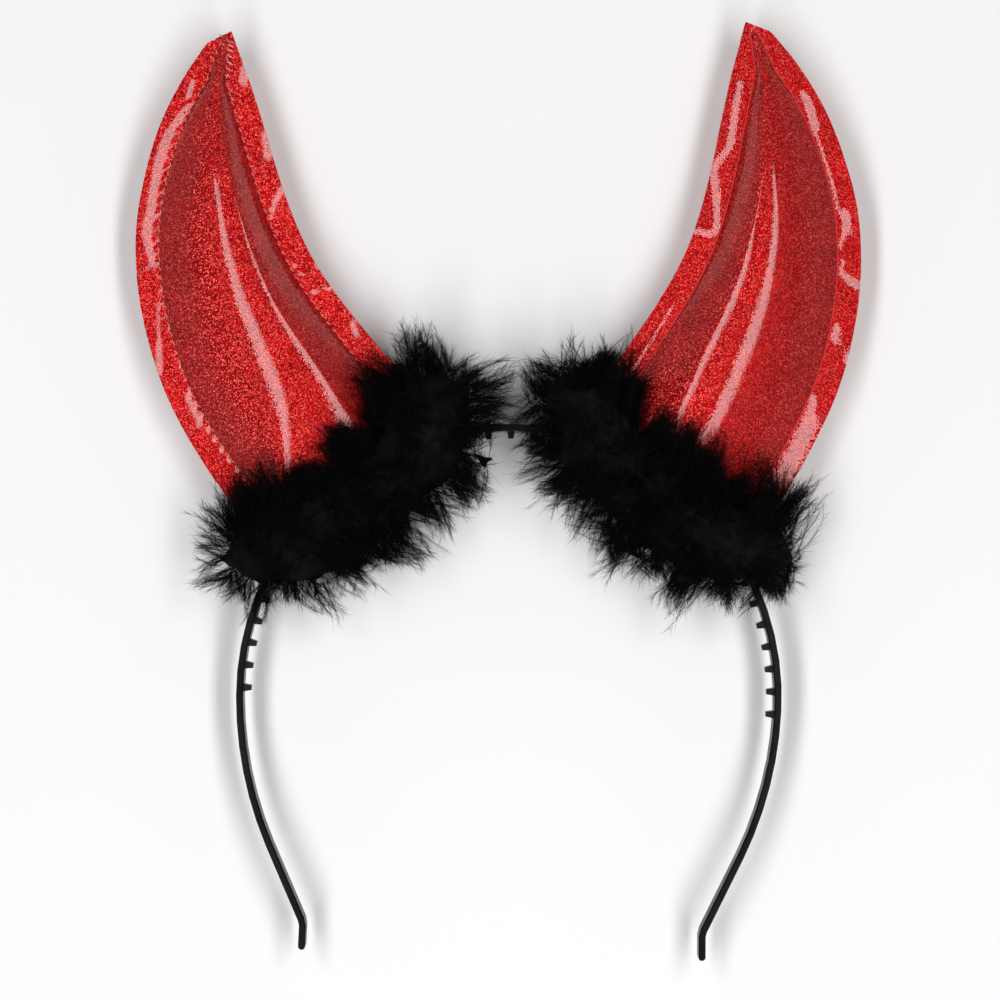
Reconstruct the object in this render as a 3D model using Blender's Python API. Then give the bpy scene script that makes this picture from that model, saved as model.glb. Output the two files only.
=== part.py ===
"""Devil horns headband: a toothed plastic band, two padded horns of glitter vinyl and two marabou trims.

The headband lies on its back. +X is to the right and +Y is towards the horn tips as seen from above,
and +Z points up, out of the face of the horns. Sizes are in metres. The model is laid out about the
centre of the band's crown arc, at mid thickness, and one empty then sets it down on the floor.
"""

import math
import random
from collections import namedtuple

import bmesh
import bpy
from mathutils import Vector

# Headband
CROWN_RADIUS = 0.0644
CROWN_SWEEP_DEG = 90.9
ARM_RADIUS = 0.0906
ARM_TAPER_DEG = 24.8
ARM_STRAIGHT = 0.0190
TIP_BEND_RADIUS = 0.0030
TIP_FLARE_DEG = 26.0
TIP_LENGTH = 0.0058
TIP_ROUNDING_DEG = (35.0, 62.0, 85.0)
BAND_THICKNESS = 0.0017
BAND_WIDTH = 0.0070
BAND_CHAMFER = 0.0004
BAND_TURN_DEG = -1.6
BAND_STATION_PITCH = 0.0060

# Teeth under the band
TOOTH_COUNT = 38
TOOTH_PITCH = 0.00553
TOOTH_ROW_SHIFT = 0.0015
TOOTH_LENGTH = 0.0018
TOOTH_ROOT = 0.0020
TOOTH_TIP = 0.0012
TOOTH_WIDTH = 0.0036
TOOTH_SINK = 0.0004

# Horns
HORN_LENGTH = 0.1150
HORN_SEAT_DEG = 36.6
HORN_BASE_WIDTH = 0.0506
LEAN_LEFT_DEG = 15.4
LEAN_RIGHT_DEG = 10.4
FLANGE_WIDTH = 0.0058
SEAM_LIMIT = 0.36
PANEL_WALL = 0.0010
PANEL_GAP = 0.0003
PAD_RISE = 0.0076
BACK_FOLD_SHARE = 0.7
EDGE_WAVE = 0.0003
EDGE_WAVES = 7.0
FILLING_CLEARANCE = 0.0004
FILLING_SHARE = 0.78
FILLING_INSET = 0.08
FILLING_START = 0.03
FILLING_END = 0.83
SEAT_GAP = 0.0003

# Marabou trims
TRIM_START_DEG = 6.0
TRIM_END_DEG = 67.0
TRIM_RADIUS = 0.0125
TRIM_DEPTH = 0.0150
LOCK_LENGTH = 0.0062
LOCK_TIP_SHARE = 0.22
LOCK_LEAN = 0.35
LOCK_CURL_PITCH = 0.0400
LOCK_ROOM = 0.0020
TRIM_LUMPS = 0.05
TRIM_SEEDS = {"left": 8, "right": 3}
TRIM_CLEARANCE = 0.0004
FOOT_REACH = 0.43
FOOT_OVERRUN = 0.02
FOLD_ROOM = 1.12
BAND_OVERRUN_DEG = 18.0
FLOOR_DROP = 0.0120

# How finely the shapes are divided
PANEL_ROWS = 22
PAD_COLUMNS = 10
FILLING_ROWS = 10
FILLING_COLUMNS = 6
TRIM_STATIONS = 16
TRIM_SIDES = 12
FOOT_ROWS = 6
FOOT_COLUMNS = 8
TUNNEL_STEPS = 12

# Both edges of a horn from base to tip, as shares of the horn's length along and across its axis,
# and the height of the padding as a share of PAD_RISE. The base row follows the band instead.
HornSection = namedtuple("HornSection", "inner_along inner_across outer_along outer_across rise")
BASE_RISE = 0.34
HORN_SECTIONS = (
    HornSection(0.190, -0.163, 0.030, 0.252, 0.66),
    HornSection(0.290, -0.119, 0.140, 0.292, 0.90),
    HornSection(0.390, -0.075, 0.270, 0.326, 1.00),
    HornSection(0.490, -0.040, 0.400, 0.338, 1.00),
    HornSection(0.590, -0.022, 0.530, 0.330, 0.95),
    HornSection(0.690, -0.015, 0.650, 0.302, 0.82),
    HornSection(0.780, -0.013, 0.760, 0.252, 0.60),
    HornSection(0.870, -0.010, 0.860, 0.188, 0.33),
    HornSection(0.940, -0.005, 0.935, 0.118, 0.05),
    HornSection(1.000, 0.000, 0.988, 0.057, 0.00),
)

# Lengthwise folds of the vinyl: place across the padding from the inner seam to the outer one, how far
# up the horn each reaches, its height as a share of the padding and its half width across.
Fold = namedtuple("Fold", "at_base at_top reach height half_width")
FOLDS = (
    Fold(0.60, 0.34, 0.78, 0.17, 0.075),
    Fold(0.31, 0.22, 0.62, 0.14, 0.060),
    Fold(0.45, 0.28, 0.64, -0.15, 0.065),
    Fold(0.16, 0.12, 0.84, -0.15, 0.060),
    Fold(0.80, 0.62, 0.86, -0.09, 0.110),
)

# The marabou from its inner end to its outer end, as shares of the trim's own sizes.
TrimSection = namedtuple("TrimSection", "along radius offset")
TRIM_SECTIONS = (
    TrimSection(0.00, 0.45, 0.28),
    TrimSection(0.09, 0.98, 0.34),
    TrimSection(0.20, 1.20, 0.32),
    TrimSection(0.36, 0.92, -0.20),
    TrimSection(0.50, 0.90, -0.38),
    TrimSection(0.63, 0.96, -0.28),
    TrimSection(0.76, 1.02, 0.02),
    TrimSection(0.88, 0.98, 0.22),
    TrimSection(0.96, 0.78, 0.26),
    TrimSection(1.00, 0.44, 0.26),
)

# Where the base of each horn sits: on the outer face of the band
SEAT_RADIUS = CROWN_RADIUS + BAND_THICKNESS / 2 + SEAT_GAP
HALF_BASE_ANGLE = math.asin(HORN_BASE_WIDTH / 2 / SEAT_RADIUS)
HORN_SEAT_ANGLE = math.radians(HORN_SEAT_DEG)
HORN_FOOT_RISE = HORN_SECTIONS[0].rise * PAD_RISE + PANEL_WALL
BASE_CURVE_SHARE = 0.35


def clear_scene():
    """Empties the scene of all that it starts with."""
    for obj in list(bpy.data.objects):
        bpy.data.objects.remove(obj)


def make_material(name, colour, roughness, metallic=0.0):
    """A plain surface finish for one sub-part."""
    material = bpy.data.materials.new(name)
    material.use_nodes = True
    shader = material.node_tree.nodes["Principled BSDF"]
    shader.inputs["Base Color"].default_value = (*colour, 1.0)
    shader.inputs["Roughness"].default_value = roughness
    shader.inputs["Metallic"].default_value = metallic
    return material


def add_object(name, mesh_builder, material, parent, sharp_deg=40.0):
    """Turns a finished bmesh into a named object under the given parent."""
    mesh = bpy.data.meshes.new(name)
    mesh_builder.to_mesh(mesh)
    mesh_builder.free()
    mesh.shade_smooth()
    mesh.set_sharp_from_angle(angle=math.radians(sharp_deg))
    mesh.materials.append(material)
    obj = bpy.data.objects.new(name, mesh)
    bpy.context.scene.collection.objects.link(obj)
    obj.parent = parent
    return obj


def hide_helper(obj):
    """Marks a cutter, which isn't part of the object."""
    obj.hide_render = True
    obj.display_type = "WIRE"


def add_boolean(obj, other, operation):
    """Joins the other shape to obj, or cuts it away from obj."""
    modifier = obj.modifiers.new(other.name, "BOOLEAN")
    modifier.operation = operation
    modifier.object = other
    hide_helper(other)


def polar(angle, radius):
    """A point on a circle about the crown's centre, by its angle from straight up towards +X."""
    return Vector((radius * math.sin(angle), radius * math.cos(angle), 0.0))


def smooth_value(places, values, at):
    """The value at a place on a smooth curve through the given ones."""
    last = len(places) - 1
    k = 0
    while k < last - 1 and at > places[k + 1]:
        k += 1
    span = places[k + 1] - places[k]
    share = min(1.0, max(0.0, (at - places[k]) / span))
    slopes = []
    for i in (k, k + 1):
        low, high = max(0, i - 1), min(last, i + 1)
        slopes.append((values[high] - values[low]) / (places[high] - places[low]) * span)
    square, cube = share**2, share**3
    return (
        (2 * cube - 3 * square + 1) * values[k]
        + (cube - 2 * square + share) * slopes[0]
        + (3 * square - 2 * cube) * values[k + 1]
        + (cube - square) * slopes[1]
    )


def grid_faces(builder, rows):
    """Fills a grid of vertices, given row by row, with four-sided faces."""
    faces = []
    for low, high in zip(rows, rows[1:]):
        for k in range(len(low) - 1):
            faces.append(builder.faces.new((low[k], low[k + 1], high[k + 1], high[k])))
    return faces


def ring_solid(rings):
    """A closed solid through rings of points, with a flat cap at each end."""
    builder = bmesh.new()
    loops = []
    for ring in rings:
        loops.append([builder.verts.new(point) for point in ring])
    grid_faces(builder, [loop + loop[:1] for loop in loops])
    builder.faces.new(loops[0])
    builder.faces.new(loops[-1])
    bmesh.ops.recalc_face_normals(builder, faces=builder.faces)
    return builder


def lens_solid(front, back):
    """A closed solid between two grids of points of one shape, joined all round their rims."""
    builder = bmesh.new()
    rims = []
    for points in (front, back):
        rows = [[builder.verts.new(point) for point in row] for row in points]
        grid_faces(builder, rows)
        rim = rows[0][:-1] + [row[-1] for row in rows[:-1]]
        rim += rows[-1][:0:-1] + [row[0] for row in rows[:0:-1]]
        rims.append(rim + rim[:1])
    grid_faces(builder, rims)
    bmesh.ops.recalc_face_normals(builder, faces=builder.faces)
    return builder


# Headband


def arm_segments():
    """One half of the band from the middle of the crown to the tip, as lengths and the turn over each."""
    crown = math.radians(CROWN_SWEEP_DEG)
    taper = math.radians(90.0 + ARM_TAPER_DEG) - crown
    flare = math.radians(TIP_FLARE_DEG)
    return (
        (CROWN_RADIUS * crown, crown),
        (ARM_RADIUS * taper, taper),
        (ARM_STRAIGHT, 0.0),
        (TIP_BEND_RADIUS * flare, -flare),
        (TIP_LENGTH, 0.0),
    )


def arm_length():
    """Length of half the band along its centre line."""
    return sum(length for length, turn in arm_segments())


def band_point(distance):
    """Point on the band's centre line, and the direction from there to the head, at a signed distance."""
    side = -1.0 if distance < 0 else 1.0
    left = abs(distance)
    x, y, heading = 0.0, CROWN_RADIUS, 0.0
    for length, turn in arm_segments():
        step = min(left, length)
        if turn:
            radius = length / turn
            after = heading + step / radius
            x += radius * (math.sin(after) - math.sin(heading))
            y += radius * (math.cos(after) - math.cos(heading))
            heading = after
        else:
            x += step * math.cos(heading)
            y -= step * math.sin(heading)
        left -= step
    inward = Vector((-side * math.sin(heading), -math.cos(heading), 0.0))
    return Vector((side * x, y, 0.0)), inward


def band_stations():
    """Distances of the band's sections, dense at the tip bends, and the shrink of each one's outline."""
    half = arm_length()
    bend = half - TIP_LENGTH
    end_radius = BAND_THICKNESS / 2
    straight_end = half - end_radius
    count = round((bend - TIP_BEND_RADIUS) / BAND_STATION_PITCH)
    places = [(bend - TIP_BEND_RADIUS) * k / count for k in range(count + 1)]
    places += [bend - TIP_BEND_RADIUS / 2, bend, straight_end]
    stations = [(place, 0.0) for place in places]
    for angle_deg in TIP_ROUNDING_DEG:
        reach = math.sin(math.radians(angle_deg))
        shrink = 1.0 - math.cos(math.radians(angle_deg))
        stations.append((straight_end + end_radius * reach, end_radius * shrink))
    return [(-place, shrink) for place, shrink in reversed(stations[1:])] + stations


def band_outline(shrink):
    """The chamfered section of the band as (towards the head, up) pairs."""
    depth = BAND_THICKNESS / 2 - shrink
    width = BAND_WIDTH / 2 - shrink
    corner = min(BAND_CHAMFER, 0.6 * depth)
    quarter = ((depth, width - corner), (depth - corner, width))
    outline = [(a, b) for a, b in quarter]
    outline += [(-a, b) for a, b in reversed(quarter)]
    outline += [(-a, -b) for a, b in quarter]
    outline += [(a, -b) for a, b in reversed(quarter)]
    return outline


def tooth_points(distance):
    """The two end rings of one tapered tooth, from inside the band to its tip."""
    centre, inward = band_point(distance)
    along = Vector((-inward.y, inward.x, 0.0))
    up = Vector((0.0, 0.0, 1.0))
    root_depth = BAND_THICKNESS / 2 - TOOTH_SINK
    tip_depth = BAND_THICKNESS / 2 + TOOTH_LENGTH
    rings = []
    for depth, size in ((root_depth, TOOTH_ROOT), (tip_depth, TOOTH_TIP)):
        half_width = TOOTH_WIDTH / 2 - (TOOTH_ROOT - size) / 2
        corners = ((1, 1), (-1, 1), (-1, -1), (1, -1))
        base = centre + inward * depth
        rings.append([base + along * (a * size / 2) + up * (b * half_width) for a, b in corners])
    return rings


def make_teeth(parent, material):
    """All the teeth of the row, as one helper shape that the band takes in."""
    builder = bmesh.new()
    for k in range(TOOTH_COUNT):
        distance = TOOTH_ROW_SHIFT + (k - (TOOTH_COUNT - 1) / 2) * TOOTH_PITCH
        root, tip = tooth_points(distance)
        low = [builder.verts.new(point) for point in root]
        high = [builder.verts.new(point) for point in tip]
        grid_faces(builder, [low + low[:1], high + high[:1]])
        builder.faces.new(low)
        builder.faces.new(high)
    bmesh.ops.recalc_face_normals(builder, faces=builder.faces)
    return add_object("teeth_helper", builder, material, parent)


def make_headband(parent):
    """The moulded band, with its row of teeth grown from the inner face."""
    plastic = make_material("black_plastic", (0.012, 0.012, 0.013), 0.35)
    rings = []
    for distance, shrink in band_stations():
        centre, inward = band_point(distance)
        rings.append([centre + inward * a + Vector((0.0, 0.0, b)) for a, b in band_outline(shrink)])
    band = add_object("headband", ring_solid(rings), plastic, parent, 30.0)
    teeth = make_teeth(parent, plastic)
    add_boolean(band, teeth, "UNION")
    for obj in (band, teeth):
        obj.rotation_euler.z = math.radians(BAND_TURN_DEG)


# Horns


def horn_edges(share, lean):
    """Inner and outer edge of a horn at a share of its height, and the rise of its padding there."""
    origin = polar(HORN_SEAT_ANGLE, SEAT_RADIUS * math.cos(HALF_BASE_ANGLE))
    along = Vector((math.sin(lean), math.cos(lean), 0.0))
    across = Vector((math.cos(lean), -math.sin(lean), 0.0))
    base = (
        polar(HORN_SEAT_ANGLE - HALF_BASE_ANGLE, SEAT_RADIUS) - origin,
        polar(HORN_SEAT_ANGLE + HALF_BASE_ANGLE, SEAT_RADIUS) - origin,
    )
    places = [k / len(HORN_SECTIONS) for k in range(len(HORN_SECTIONS) + 1)]
    columns = (
        [base[0].dot(along)] + [row.inner_along * HORN_LENGTH for row in HORN_SECTIONS],
        [base[0].dot(across)] + [row.inner_across * HORN_LENGTH for row in HORN_SECTIONS],
        [base[1].dot(along)] + [row.outer_along * HORN_LENGTH for row in HORN_SECTIONS],
        [base[1].dot(across)] + [row.outer_across * HORN_LENGTH for row in HORN_SECTIONS],
        [BASE_RISE] + [row.rise for row in HORN_SECTIONS],
    )
    values = [smooth_value(places, column, share) for column in columns]
    inner = origin + along * values[0] + across * values[1]
    outer = origin + along * values[2] + across * values[3]
    return inner, outer, max(0.0, values[4])


def seam_share(inner, outer):
    """How far in from each edge the seam runs, as a share of the section's width."""
    return min(FLANGE_WIDTH / (outer - inner).length, SEAM_LIMIT)


def section_point(share, across, inner, outer):
    """A point of a horn section, bowed near the base so that the bottom row follows the band."""
    point = inner.lerp(outer, across)
    angle = HORN_SEAT_ANGLE + HALF_BASE_ANGLE * (2.0 * across - 1.0)
    chord = polar(HORN_SEAT_ANGLE - HALF_BASE_ANGLE, SEAT_RADIUS).lerp(
        polar(HORN_SEAT_ANGLE + HALF_BASE_ANGLE, SEAT_RADIUS), across
    )
    fade = max(0.0, 1.0 - share / BASE_CURVE_SHARE) ** 2
    return point + (polar(angle, SEAT_RADIUS) - chord) * fade


def pad_profile(place):
    """Height of the padding across the horn, from seam to seam, before any fold."""
    return max(0.0, 1.0 - (2.0 * place - 1.0) ** 2) ** 0.62


def fold_relief(place, share):
    """Sum of the lengthwise folds at a place across the padding and a share of the height."""
    relief = 0.0
    for fold in FOLDS:
        if share < fold.reach:
            centre = fold.at_base + (fold.at_top - fold.at_base) * share / fold.reach
            fade = 1.0 - (share / fold.reach) ** 3
            relief += fold.height * fade * math.exp(-(((place - centre) / fold.half_width) ** 2))
    return relief


def edge_wave(share, across):
    """The slight wave of the flat edge, largest at the cut edge and nil at the seams."""
    at_edge = abs(2.0 * across - 1.0) ** 6
    return EDGE_WAVE * at_edge * math.sin(2.0 * math.pi * EDGE_WAVES * share + 2.0 * across)


def horn_columns(seam):
    """Places across a section: the cut edge, the seam, even steps over the padding, seam and edge."""
    inside = [seam + (1.0 - 2.0 * seam) * k / PAD_COLUMNS for k in range(PAD_COLUMNS + 1)]
    return [0.0] + inside + [1.0]


def panel_rows(builder, face, side, lean):
    """The inner surface of one vinyl panel, row by row. Face is 1 in front and -1 behind."""
    fold_share = 1.0 if face > 0 else BACK_FOLD_SHARE
    rows = []
    for k in range(PANEL_ROWS + 1):
        share = k / PANEL_ROWS
        inner, outer, rise = horn_edges(share, lean)
        seam = seam_share(inner, outer)
        row = []
        for across in horn_columns(seam):
            point = section_point(share, across, inner, outer)
            place = min(1.0, max(0.0, (across - seam) / (1.0 - 2.0 * seam)))
            body = pad_profile(place)
            if 0.0 < place < 1.0:
                body += fold_share * fold_relief(place, share)
            height = PANEL_GAP / 2 + PAD_RISE * rise * body
            point.z = face * height + edge_wave(share, across)
            point.x *= side
            row.append(builder.verts.new(point))
        rows.append(row)
    return rows


def make_panel(name, face, side, lean, material, parent):
    """One vinyl panel of a horn: a crowned, folded sheet with a flat edge all round its padding."""
    builder = bmesh.new()
    faces = grid_faces(builder, panel_rows(builder, face, side, lean))
    builder.normal_update()
    if faces[0].normal.z * face < 0:
        bmesh.ops.reverse_faces(builder, faces=faces)
    shell = builder.faces[:]
    bmesh.ops.solidify(builder, geom=shell, thickness=-PANEL_WALL)
    for vert in builder.verts:
        reach = math.hypot(vert.co.x, vert.co.y)
        if reach < SEAT_RADIUS:
            vert.co.x *= SEAT_RADIUS / reach
            vert.co.y *= SEAT_RADIUS / reach
    bmesh.ops.recalc_face_normals(builder, faces=builder.faces)
    return add_object(name, builder, material, parent, 50.0)


def make_filling(name, side, lean, material, parent):
    """The soft filling between the two panels of a horn, up to the seams."""
    front, back = [], []
    for k in range(FILLING_ROWS + 1):
        share = FILLING_START + (FILLING_END - FILLING_START) * k / FILLING_ROWS
        inner, outer, rise = horn_edges(share, lean)
        seam = seam_share(inner, outer)
        row = []
        for j in range(FILLING_COLUMNS + 1):
            place = FILLING_INSET + (1.0 - 2.0 * FILLING_INSET) * j / FILLING_COLUMNS
            point = section_point(share, seam + (1.0 - 2.0 * seam) * place, inner, outer)
            body = PAD_RISE * rise * pad_profile(place) * FILLING_SHARE
            height = max(PANEL_GAP / 2, body - FILLING_CLEARANCE)
            row.append(Vector((side * point.x, point.y, height)))
        front.append(row)
        back.append([Vector((point.x, point.y, -point.z)) for point in row])
    return add_object(name, lens_solid(front, back), material, parent, 50.0)


def make_horn(word, side, lean_deg, vinyl, wadding, parent):
    """A horn: front and back panels sewn together over a filling."""
    lean = math.radians(lean_deg)
    make_panel(f"horn_{word}_front_panel", 1, side, lean, vinyl, parent)
    make_panel(f"horn_{word}_back_panel", -1, side, lean, vinyl, parent)
    make_filling(f"horn_{word}_filling", side, lean, wadding, parent)


# Marabou trims


def trim_section(share):
    """Centre, outward direction and radius share of the trim at a share of its length."""
    angle = math.radians(TRIM_START_DEG + (TRIM_END_DEG - TRIM_START_DEG) * share)
    places = [row.along for row in TRIM_SECTIONS]
    radius = smooth_value(places, [row.radius for row in TRIM_SECTIONS], share)
    offset = smooth_value(places, [row.offset for row in TRIM_SECTIONS], share)
    return polar(angle, CROWN_RADIUS + offset * TRIM_RADIUS), polar(angle, 1.0), radius


def in_horn_or_band(point):
    """Whether a point right of the middle lies in the room that the horn and the band take."""
    radius = math.hypot(point.x, point.y)
    angle = math.atan2(point.x, point.y)
    band_reach = BAND_THICKNESS / 2 + TOOTH_LENGTH + LOCK_ROOM
    if abs(point.z) < BAND_WIDTH / 2 + LOCK_ROOM and abs(radius - CROWN_RADIUS) < band_reach:
        return True
    beside = abs(angle - HORN_SEAT_ANGLE) > HALF_BASE_ANGLE + LOCK_ROOM / SEAT_RADIUS
    return radius > CROWN_RADIUS and not beside and abs(point.z) < HORN_FOOT_RISE + LOCK_ROOM


def trim_blob(side, source):
    """The lumpy body of a trim along the band, flat where it lies on the floor."""
    rings = []
    for k in range(TRIM_STATIONS + 1):
        centre, outward, radius = trim_section(k / TRIM_STATIONS)
        ring = []
        for j in range(TRIM_SIDES):
            angle = 2.0 * math.pi * (j + 0.5) / TRIM_SIDES
            reach = radius * source.uniform(1.0 - TRIM_LUMPS, 1.0 + TRIM_LUMPS)
            point = centre + outward * (TRIM_RADIUS * reach * math.cos(angle))
            point.z = max(-FLOOR_DROP, TRIM_DEPTH * reach * math.sin(angle))
            point.x *= side
            ring.append(point)
        rings.append(ring)
    return ring_solid(rings)


def grow_locks(builder, side, source):
    """Draws faces of the trim out into tapering locks, apart from those over the horn, band and floor."""
    phases = [source.uniform(0.0, 2.0 * math.pi) for axis in range(3)]
    chosen, tips = [], []
    for face in builder.faces:
        middle = face.calc_center_median()
        length = LOCK_LENGTH * source.uniform(0.55, 1.4)
        turns = (middle.x + 2.0 * middle.y + 3.0 * middle.z) / LOCK_CURL_PITCH
        sway = Vector([math.sin(turns + phase) for phase in phases]) * LOCK_LEAN
        outward = sum((corner.normal for corner in face.verts), Vector()).normalized()
        direction = (outward + sway).normalized()
        tip = middle + direction * length
        ends = [corner.co + direction * length * 0.5 for corner in face.verts] + [tip]
        seen = [Vector((side * end.x, end.y, end.z)) for end in ends]
        clear_of_floor = min(end.z for end in ends) > LOCK_ROOM / 2 - FLOOR_DROP
        if clear_of_floor and not any(in_horn_or_band(end) for end in seen):
            chosen.append(face)
            tips.append(tip)
    drawn = bmesh.ops.extrude_discrete_faces(builder, faces=chosen)
    for face, tip in zip(drawn["faces"], tips):
        middle = face.calc_center_median()
        for vert in face.verts:
            vert.co = tip + (vert.co - middle) * LOCK_TIP_SHARE


def horn_cutter(name, side, lean, parent, material):
    """The room that the foot of a horn takes up inside its trim, down into the band's tunnel."""
    step = (1.0 + 2.0 * FOOT_OVERRUN) / FOOT_COLUMNS
    room = PANEL_GAP / 2 + 1.5 * PANEL_WALL + EDGE_WAVE + TRIM_CLEARANCE
    front, back = [], []
    for k in range(FOOT_ROWS + 1):
        share = FOOT_REACH * k / FOOT_ROWS
        inner, outer, rise = horn_edges(share, lean)
        seam = seam_share(inner, outer)
        row = []
        for j in range(FOOT_COLUMNS + 1):
            across = step * j - FOOT_OVERRUN
            point = section_point(share, across, inner, outer)
            if k == 0:
                point *= CROWN_RADIUS / SEAT_RADIUS
            place = min(1.0, max(0.0, (across - seam) / (1.0 - 2.0 * seam)))
            height = room + PAD_RISE * rise * FOLD_ROOM * pad_profile(place)
            row.append(Vector((side * point.x, point.y, height)))
        front.append(row)
        back.append([Vector((point.x, point.y, -point.z)) for point in row])
    return add_object(name, lens_solid(front, back), material, parent)


def band_cutter(name, side, parent, material):
    """The room that the band and its teeth take up inside a trim."""
    low = CROWN_RADIUS - BAND_THICKNESS / 2 - TOOTH_LENGTH - TRIM_CLEARANCE
    high = CROWN_RADIUS + BAND_THICKNESS / 2 + TRIM_CLEARANCE
    half = BAND_WIDTH / 2 + TRIM_CLEARANCE
    start = TRIM_START_DEG - BAND_OVERRUN_DEG
    sweep = TRIM_END_DEG + BAND_OVERRUN_DEG - start
    rings = []
    for k in range(TUNNEL_STEPS + 1):
        angle = math.radians(side * (start + sweep * k / TUNNEL_STEPS))
        ring = []
        for radius, height in ((low, half), (high, half), (high, -half), (low, -half)):
            ring.append(polar(angle, radius) + Vector((0.0, 0.0, height)))
        rings.append(ring)
    return add_object(name, ring_solid(rings), material, parent)


def make_trim(word, side, lean_deg, material, parent):
    """A marabou trim: locks on a lumpy body that wraps the foot of a horn and the band under it."""
    lean = math.radians(lean_deg)
    source = random.Random(TRIM_SEEDS[word])
    builder = trim_blob(side, source)
    grow_locks(builder, side, source)
    bmesh.ops.recalc_face_normals(builder, faces=builder.faces)
    trim = add_object(f"marabou_trim_{word}", builder, material, parent, 30.0)
    add_boolean(trim, horn_cutter(f"horn_{word}_room", side, lean, parent, material), "DIFFERENCE")
    add_boolean(trim, band_cutter(f"band_{word}_room", side, parent, material), "DIFFERENCE")


def set_down(empty):
    """Lays the whole object on the floor, with its middle over the origin."""
    bpy.context.view_layer.update()
    graph = bpy.context.evaluated_depsgraph_get()
    corners = []
    for obj in bpy.context.scene.objects:
        if obj.type == "MESH" and not obj.hide_render:
            shown = obj.evaluated_get(graph)
            corners += [shown.matrix_world @ vert.co for vert in shown.data.vertices]
    middle = [(max(c[i] for c in corners) + min(c[i] for c in corners)) / 2 for i in (0, 1)]
    empty.location = (-middle[0], -middle[1], FLOOR_DROP)


def main():
    """Builds every piece about the crown's centre, then lays the object down."""
    clear_scene()
    frame = bpy.data.objects.new("headband_frame", None)
    bpy.context.scene.collection.objects.link(frame)
    vinyl = make_material("red_glitter_vinyl", (0.46, 0.010, 0.014), 0.25)
    wadding = make_material("white_wadding", (0.80, 0.79, 0.76), 0.95)
    marabou = make_material("black_marabou", (0.006, 0.006, 0.006), 0.9)
    make_headband(frame)
    make_horn("left", -1, LEAN_LEFT_DEG, vinyl, wadding, frame)
    make_horn("right", 1, LEAN_RIGHT_DEG, vinyl, wadding, frame)
    make_trim("left", -1, LEAN_LEFT_DEG, marabou, frame)
    make_trim("right", 1, LEAN_RIGHT_DEG, marabou, frame)
    set_down(frame)


main()
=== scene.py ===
"""The finished look of the devil horns headband: vinyl, seams, marabou, plastic and studio.

The headband lies on its back with the faces of its horns up. +X is to the right and +Y is towards the
horn tips as the camera sees them. Sizes are in metres, and every size is read off the frame or set in
the panels of the sidebar.
"""

import math
from collections import namedtuple

import bmesh
import bpy
import numpy as np
from bpy.props import FloatProperty, FloatVectorProperty, IntProperty, PointerProperty, StringProperty
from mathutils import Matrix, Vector, noise
from mathutils.bvhtree import BVHTree


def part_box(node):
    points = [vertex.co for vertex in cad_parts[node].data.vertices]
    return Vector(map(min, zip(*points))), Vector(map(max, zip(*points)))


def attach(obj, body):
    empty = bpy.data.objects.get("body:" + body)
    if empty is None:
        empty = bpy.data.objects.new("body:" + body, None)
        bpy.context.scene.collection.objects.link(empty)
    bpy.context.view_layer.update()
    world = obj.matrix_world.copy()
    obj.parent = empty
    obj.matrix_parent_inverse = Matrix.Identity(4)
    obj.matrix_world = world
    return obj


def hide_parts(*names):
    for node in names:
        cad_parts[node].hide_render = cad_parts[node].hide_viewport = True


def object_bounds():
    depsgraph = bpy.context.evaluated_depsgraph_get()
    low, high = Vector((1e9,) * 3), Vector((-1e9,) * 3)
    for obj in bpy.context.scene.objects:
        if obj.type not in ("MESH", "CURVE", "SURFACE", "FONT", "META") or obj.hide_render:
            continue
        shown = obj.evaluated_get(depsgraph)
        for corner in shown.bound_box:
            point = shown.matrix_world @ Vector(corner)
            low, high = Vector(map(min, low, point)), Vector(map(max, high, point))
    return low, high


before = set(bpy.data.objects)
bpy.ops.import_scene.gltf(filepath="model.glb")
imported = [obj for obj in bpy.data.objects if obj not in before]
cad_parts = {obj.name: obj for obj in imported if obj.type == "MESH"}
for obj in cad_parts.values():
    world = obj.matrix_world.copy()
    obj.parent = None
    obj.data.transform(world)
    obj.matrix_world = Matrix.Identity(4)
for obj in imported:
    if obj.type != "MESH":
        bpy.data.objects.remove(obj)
CAD_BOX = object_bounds()

bl_info = {
    "name": "Devil Horns Headband",
    "version": (1, 0, 0),
    "blender": (4, 5, 0),
    "location": "View3D > Sidebar > Headband",
    "description": "Finishes the padded horns, the marabou trims and the moulded band",
    "category": "Add Mesh",
}

BODY = "root"
MARABOU_FINISH = "black_marabou_down"
SIDES = ("left", "right")
MERGE = 0.00001
OUTER_FACE_LIMIT = 0.35

# How finely a horn's sheets are divided, from foot to tip, over the padding and over each flat edge
HORN_ROWS = 190
PAD_COLUMNS = 80
FLANGE_COLUMNS = 14
SEAM_COLUMNS = (FLANGE_COLUMNS, FLANGE_COLUMNS + PAD_COLUMNS)
# The columns over the padding lie closer together where its folds run
COLUMN_SHARES = (0.0, 0.10, 0.72, 1.0)
COLUMN_PLACES = (0.0, 0.14, 0.60, 1.0)
# How far up a horn its sections still bow with the band, and the most of a section that an edge takes
FOOT_CURVE_SHARE = 0.35
SEAM_LIMIT = 0.36
# Where a section's highest point is looked for, as a share of its width and at least, in metres
RISE_REACH = 0.30
LEAST_REACH = 0.003
# How deep the line between the two sheets lies in the cut edge, and the steepest turn shaded smooth
RIM_GROOVE = 0.0004
SMOOTH_ANGLE = math.radians(50.0)

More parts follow.
